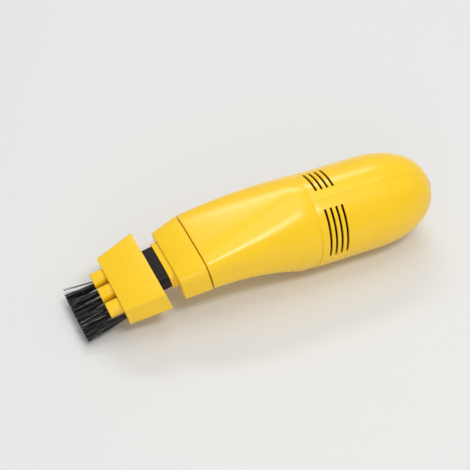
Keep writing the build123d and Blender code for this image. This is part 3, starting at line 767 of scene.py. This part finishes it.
nose = bmesh.new()
shell_foot = drooped(nose_back, wedge=nose_wedge)
plug_inner = loop(nose, drooped(plug_back), *plug_bore)
plug_outer = loop(nose, drooped(plug_back), *plug_section)
plug_foot = loop(nose, shell_foot, *plug_foot_section)
shell_back = loop(nose, shell_foot, *seam_sizes, outline=oval)
shell_front = loop(nose, drooped(nose_front, nose_front_rise), *front_sizes, outline=oval)
neck_foot = loop(nose, drooped(nose_front, neck_rise), *neck_section)
neck_edge = loop(nose, drooped(neck_front, neck_rise), *neck_section)
neck_mouth = loop(nose, drooped(neck_front, neck_rise), *duct_section)
collar_mouth = loop(nose, drooped(tube_back, neck_rise), *duct_section)
collar_back = loop(nose, drooped(tube_back, neck_rise), *neck_section)
collar_foot = loop(nose, drooped(nose_hollow_front, neck_rise), *neck_section)
nose_hollow = loop(nose, drooped(nose_hollow_front, nose_front_rise), *nose_hollow_section)
chain(nose, [plug_inner, plug_outer, plug_foot, shell_back, shell_front, neck_foot, neck_edge, neck_mouth,
             collar_mouth, collar_back, collar_foot, nose_hollow])
for verts, width in ((shell_back, 0.15), (shell_front, 0.3), (neck_edge, 0.2), (plug_outer, 0.3)):
    soften(nose, verts, width)
finish_piece("nose_cone", nose, "nose_piece", yellow_abs, "nose")

# %% [markdown]
# The duct is a flat tube in satin black, which joins the neck to the head. Four loops are all that it needs:
# two outside, two inside, closed into a wall.

# %% Loft the duct
tube_front, tube_wall, tube_round = 26.25, 1.0, 0.2

duct = bmesh.new()
duct_loops = [loop(duct, drooped(distance, neck_rise), *(size - wall for size in duct_section))
              for distance, wall in ((tube_back, 0.0), (tube_front, 0.0),
                                     (tube_front, tube_wall), (tube_back, tube_wall))]
chain(duct, duct_loops)
for verts in duct_loops:
    soften(duct, verts, tube_round)
finish_piece("inlet_duct", duct, "nose_piece", black_pp, "inlet_tube")

# %% [markdown]
# ## The brush head
#
# The head is a wedge that narrows to the front, with sharper edges above than below. In front, three short
# tubes stand in a row. The wedge is a skin between two loops, and the tubes are round bars that are joined to
# it later, because they stand on a flat face that has no rows to grow them from.

# %% Body and tubes of the head
head_back, head_front, head_tilt, head_round = 18.25, 35.05, -4.5, 0.15
head_back_rise, back_section = 1.0, (17.5, 6.3, 1.0, 3.2)
head_front_rise, front_section = 0.1, (14.7, 5.6, 1.0, 2.9)
suction_back, suction_front, suction_rise, suction_round = 33.5, 40.4, 1.5, 0.25
suction_pitch, suction_radius, suction_count = 8.1, 3.15, 96
suction_sides = (-suction_pitch, 0, suction_pitch)

head = bmesh.new()
head_ends = [loop(head, drooped(head_back, head_back_rise, wedge=head_tilt), *back_section),
             loop(head, drooped(head_front, head_front_rise), *front_section)]
chain(head, head_ends, closed=False)
for verts in head_ends:
    soften(head, verts, head_round)
suction_tubes = bmesh.new()
for side in suction_sides:
    peg(suction_tubes, drooped(suction_back, suction_rise, side), drooped(suction_front, suction_rise, side),
        suction_radius, suction_count, suction_round)
print("faces of body and tubes:", len(head.faces), len(suction_tubes.faces))

# %% [markdown]
# Behind, the head slides on the duct. It has a deep hole for it, with a shallow recess that the neck enters
# when the head is pushed right on. In front, the tubes are bored, and a strip that holds the bristles lies in
# a pocket below them. The bores end just short of the duct's hole, out of sight; the solid of the frame has a
# hollow there. The tubes are joined on first, and the recess and the holes are cut after them.

# %% Carve the head
recess_bottom, recess_section = 18.85, (10.55, 5.15, 3.85)
duct_hole_end, duct_hole_section = 30.5, (9.65, 4.25, 2.95)
bore_back, suction_bore = 31.5, 2.1
tuft_rise, strip_section, strip_thickness = -3.65, (12.0, 1.3, 0.1), 1.4
strip_back = head_front - strip_thickness

neck_recess, holes = bmesh.new(), bmesh.new()
behind_head = drooped(head_back - beyond, neck_rise)
prism(neck_recess, behind_head, drooped(recess_bottom, neck_rise), *recess_section)
prism(holes, behind_head, drooped(duct_hole_end, neck_rise), *duct_hole_section)
prism(holes, drooped(strip_back, tuft_rise), drooped(head_front + beyond, tuft_rise), *strip_section,
      small_count)
for side in suction_sides:
    peg(holes, drooped(bore_back, suction_rise, side), drooped(suction_front + beyond, suction_rise, side),
        suction_bore, suction_count)
for operation, tool in (("UNION", suction_tubes), ("DIFFERENCE", neck_recess), ("DIFFERENCE", holes)):
    head = combine(head, operation, tool)
finish_piece("brush_body", head, "head", yellow_abs, "brush_head")

# %% [markdown]
# ## The bristles
#
# The bristles stand in six tufts along a strip. Hair particles could draw them, but real geometry is exported
# as it is. One strand is modelled as a thin three-sided cone in a few short lengths, so that it can bend, and
# is kept as a mesh to copy.

# %% One strand
strand_radius, strand_taper, strand_lengths = 0.13, 0.6, 4

straight = bmesh.new()
bmesh.ops.create_cone(straight, cap_ends=True, segments=3, radius1=strand_radius * mm,
                      radius2=strand_radius * strand_taper * mm, depth=1.0,
                      matrix=Matrix.Translation((0, 0, 0.5)))
long_edges = [e for e in straight.edges if abs(e.verts[0].co.z - e.verts[1].co.z) > 0.5]
bmesh.ops.subdivide_edges(straight, edges=long_edges, cuts=strand_lengths - 1)
strand_size = len(straight.verts)
strand_mesh = bpy.data.meshes.new("strand")
straight.to_mesh(strand_mesh)
straight.free()
print("vertices in a strand:", strand_size)

# %% [markdown]
# Copies of the strand are laid along gentle curves, nearly eight hundred of them. The strands of a tuft lean
# out from its middle, each a little its own way, so the tufts stand apart at their roots and run together at
# their tips. They end at nearly the same length, as a trimmed brush does, and two strays stick out at the far
# end. The random numbers are seeded, so every run gives the same brush.

# %% Helpers for the bristles
dice = random.Random(7)
brush = bmesh.new()
prism(brush, drooped(strip_back, tuft_rise), drooped(head_front, tuft_rise), *strip_section, small_count)


def plant(root, tip, bow, thickness=1.0):
    """One strand from its root to its tip, bowed to the side on the way."""
    brush.from_mesh(strand_mesh)
    brush.verts.ensure_lookup_table()
    twist = Matrix.Rotation(dice.uniform(0, 2 * math.pi), 2)
    for vert in brush.verts[-strand_size:]:
        along = vert.co.z
        across, up = twist @ vert.co.xy * thickness
        vert.co = root.lerp(tip, along) + bow * 4 * along * (1 - along) + left * across + lift * up


def scatter(width, height):
    """A random shift across the strands, in metres, from two spreads in millimetres."""
    return (left * dice.gauss(0, width) + lift * dice.gauss(0, height)) * mm


print("faces of the strip:", len(brush.faces))

# %% [markdown]
# Within a tuft the roots lie on a spiral of golden angles, which fills a round hole evenly. A few strands are
# wild: they stray more than the others, as in any brush that has been used.

# %% Plant the bristles
tuft_count, tuft_pitch, tuft_radius, tuft_spread, strands_per_tuft = 6, 4.0, 0.95, 2.0, 130
tip_distance, tip_unevenness, root_depth = 52.4, 1.1, 0.7
lean_spread, tip_spread, bow_spread, stray_bow = (0.35, 0.2), (0.45, 0.35), (0.18, 0.15), (0.2, 0.1)
wild_share, wild_factor = 0.08, 2.2
stray_tips, stray_thickness = [(52.0, 0.6, -15.0), (51.9, 0.4, -14.5)], 1.8
golden_angle = math.pi * (3 - math.sqrt(5))
root_distance = head_front - root_depth

for tuft in range(tuft_count):
    side = (tuft - (tuft_count - 1) / 2) * tuft_pitch
    tuft_lean = scatter(*lean_spread)
    for hair in range(strands_per_tuft):
        reach = tuft_radius * math.sqrt((hair + 0.5) / strands_per_tuft)
        turn_round = hair * golden_angle
        out = Vector((reach * math.cos(turn_round), reach * math.sin(turn_round), 0)) * mm
        flare = (left * out.x + lift * out.y) * (tuft_spread - 1)
        end = tip_distance - tip_unevenness * dice.random() ** 2
        wild = wild_factor if dice.random() < wild_share else 1.0
        root = drooped(root_distance, tuft_rise, side) @ out
        tip = drooped(end, tuft_rise, side) @ (out * tuft_spread) + tuft_lean + scatter(*tip_spread) * wild
        plant(root, tip, scatter(*bow_spread) * wild - flare / 4)
far_side = -tuft_pitch * (tuft_count - 1) / 2 - tuft_radius
far_root = drooped(root_distance, tuft_rise, far_side).translation
for distance, rise, side in stray_tips:
    tip = drooped(distance, tuft_rise + rise, side).translation
    plant(far_root, tip, scatter(*stray_bow), stray_thickness)
finish_piece("brush_bristles", brush, "head", black_filament, "bristles")

# %% [markdown]
# ## The thumb slider
#
# The slider is a small ribbed block in the switch's recess, on a stem that reaches down to the switch. Bump
# could draw the ribs, but a thumb would feel them, so they are small bars that are joined on.

# %% Build the slider
knob_height, knob_corner, knob_round, knob_count = 1.7, 0.5, 0.3, 64
rib_count, rib_pitch, rib_width, rib_height = 4, 1.8, 0.8, 0.45
rib_inset, rib_round, stem_reach, rooted = 0.5, 0.2, 1.0, 0.2
slider_bottom = recess_floor + knob_fit
slider_top = slider_bottom + knob_height

slider, stem, ribs = bmesh.new(), bmesh.new(), bmesh.new()
prism(slider, switch_place(switch_x, slider_bottom), switch_place(switch_x, slider_top),
      knob_length / 2, knob_width / 2, knob_corner, knob_count, knob_round)
prism(stem, switch_place(switch_x, pad_bottom - stem_reach), switch_place(switch_x, slider_bottom + rooted),
      stem_length / 2, stem_width / 2, stem_corner, small_count)
for k in range(rib_count):
    x = switch_x + (k - (rib_count - 1) / 2) * rib_pitch
    prism(ribs, switch_place(x, slider_top - rooted), switch_place(x, slider_top + rib_height),
          rib_width / 2, knob_width / 2 - rib_inset, rib_round, small_count, rib_round)
slider = combine(slider, "UNION", stem, ribs)
finish_piece("thumb_slider", slider, "switch_slider", black_abs, "switch_knob")

# %% [markdown]
# ## The grommet
#
# The grommet is a turned rubber bush in the tail, which a lead passes through. Its groove grips the wall's
# hole. A turned piece is one outline, spun through a full turn.

# %% Spin the grommet
lead_radius, flange_radius, flange_thickness = 2.1, 4.8, 0.8
inner_flange_radius, inner_flange_thickness, grommet_steps = 4.4, 1.2, 72
flange_edge = [(0.8, 4.3), (0.65, 4.65), (0.3, flange_radius)]
inner_end = tail_inner + inner_flange_thickness

grommet = bmesh.new()
grommet_outline = [(tail_x - flange_thickness, lead_radius)]
grommet_outline += [(tail_x - out, radius) for out, radius in flange_edge]
grommet_outline += [(tail_x, flange_radius), (tail_x, grommet_hole), (tail_inner, grommet_hole)]
grommet_outline += [(tail_inner, inner_flange_radius), (inner_end, inner_flange_radius),
                    (inner_end, lead_radius)]
bush_verts, bush_edges = trace(grommet, grommet_outline, top)
bmesh.ops.spin(grommet, geom=bush_verts + bush_edges, cent=axis_point, axis=forward, angle=2 * math.pi,
               steps=grommet_steps, use_merge=True, use_duplicate=False)
finish_piece("tail_grommet", grommet, "housing", black_rubber, "cord_grommet")

# %% [markdown]
# ## The pieces inside
#
# The fan, the motor, the filter, the switch and the screws keep their own solids, whose shapes are right.
# They only get their finishes.

# %% Finish the pieces inside
inside_finishes = {
    "filter_frame": white_pp, "filter_cloth": filter_fabric,
    "fan_shroud": black_abs, "fan_impeller": black_nylon,
    "motor_shaft": plated_steel, "motor_mount": black_abs, "motor_can": plated_steel,
    "motor_magnets": dark_ferrite, "motor_armature": copper_wire, "motor_end_cap": black_abs,
    "motor_bushes": plain_brass, "motor_terminals": plain_brass, "motor_screws": zinc_steel,
    "housing_screws": zinc_steel, "switch_body": black_abs, "switch_terminals": plain_brass,
}
for name, finish in inside_finishes.items():
    for holder in frame["nodes"][name].material_slots:
        holder.material = finish
print("finished inside:", len(inside_finishes))

# %% [markdown]
# ## Floor and light
#
# A plain pale floor carries the soft shadow. It is not part of the object.

# %% Lay the floor
floor_half_side, floor_roughness = 3.0, 0.9
floor_bm = bmesh.new()
bmesh.ops.create_grid(floor_bm, x_segments=1, y_segments=1, size=floor_half_side)
floor = to_object("floor", floor_bm)
floor_finish, floor_tree, floor_shader, _ = new_finish("pale_floor")
feed(floor_tree, floor_shader, {"Base Color": linear("E0E0DE"), "Roughness": floor_roughness})
floor.data.materials.append(floor_finish)
print("floor:", 2 * floor_half_side, "m wide")

# %% [markdown]
# Two soft panels give the two long highlights of the cup, one from the far side and one from the near side. A
# wide one overhead and a low one in front, both dim, and an even sky fill the rest. The level is plain: a
# colour renders about as it is written.

# %% Panels and sky
panel_distance, panel_aim = 1.0, Vector((0.02, 0, 0.02))
sky_strength = 0.54


def soft_panel(name, toward, width, height, watts):
    """Soft rectangular lamp that looks at the object from a direction."""
    lamp = bpy.data.lights.new(name, "AREA")
    lamp.shape, lamp.size, lamp.size_y, lamp.energy = "RECTANGLE", width, height, watts
    panel = bpy.data.objects.new(name, lamp)
    toward = Vector(toward).normalized()
    panel.matrix_world = (Matrix.Translation(panel_aim + toward * panel_distance)
                          @ toward.to_track_quat("Z", "Y").to_matrix().to_4x4())
    bpy.context.scene.collection.objects.link(panel)


soft_panel("far_panel", (-0.20, -0.67, 0.72), 0.60, 0.12, 2.1)
soft_panel("near_panel", (-0.08, 0.43, 0.90), 0.45, 0.18, 3.25)
soft_panel("over_panel", (-0.14, -0.10, 0.98), 0.62, 0.62, 1.7)
soft_panel("front_panel", (0.45, 0.80, 0.36), 0.80, 0.40, 1.45)
sky = bpy.data.worlds.new("studio_sky")
sky.use_nodes = True
background = sky.node_tree.nodes["Background"]
feed(sky.node_tree, background, {"Color": linear("F4F4F6"), "Strength": sky_strength})
bpy.context.scene.world = sky
bpy.context.scene.view_settings.view_transform = "Standard"
print("lamps:", [lamp.name for lamp in bpy.data.lights])
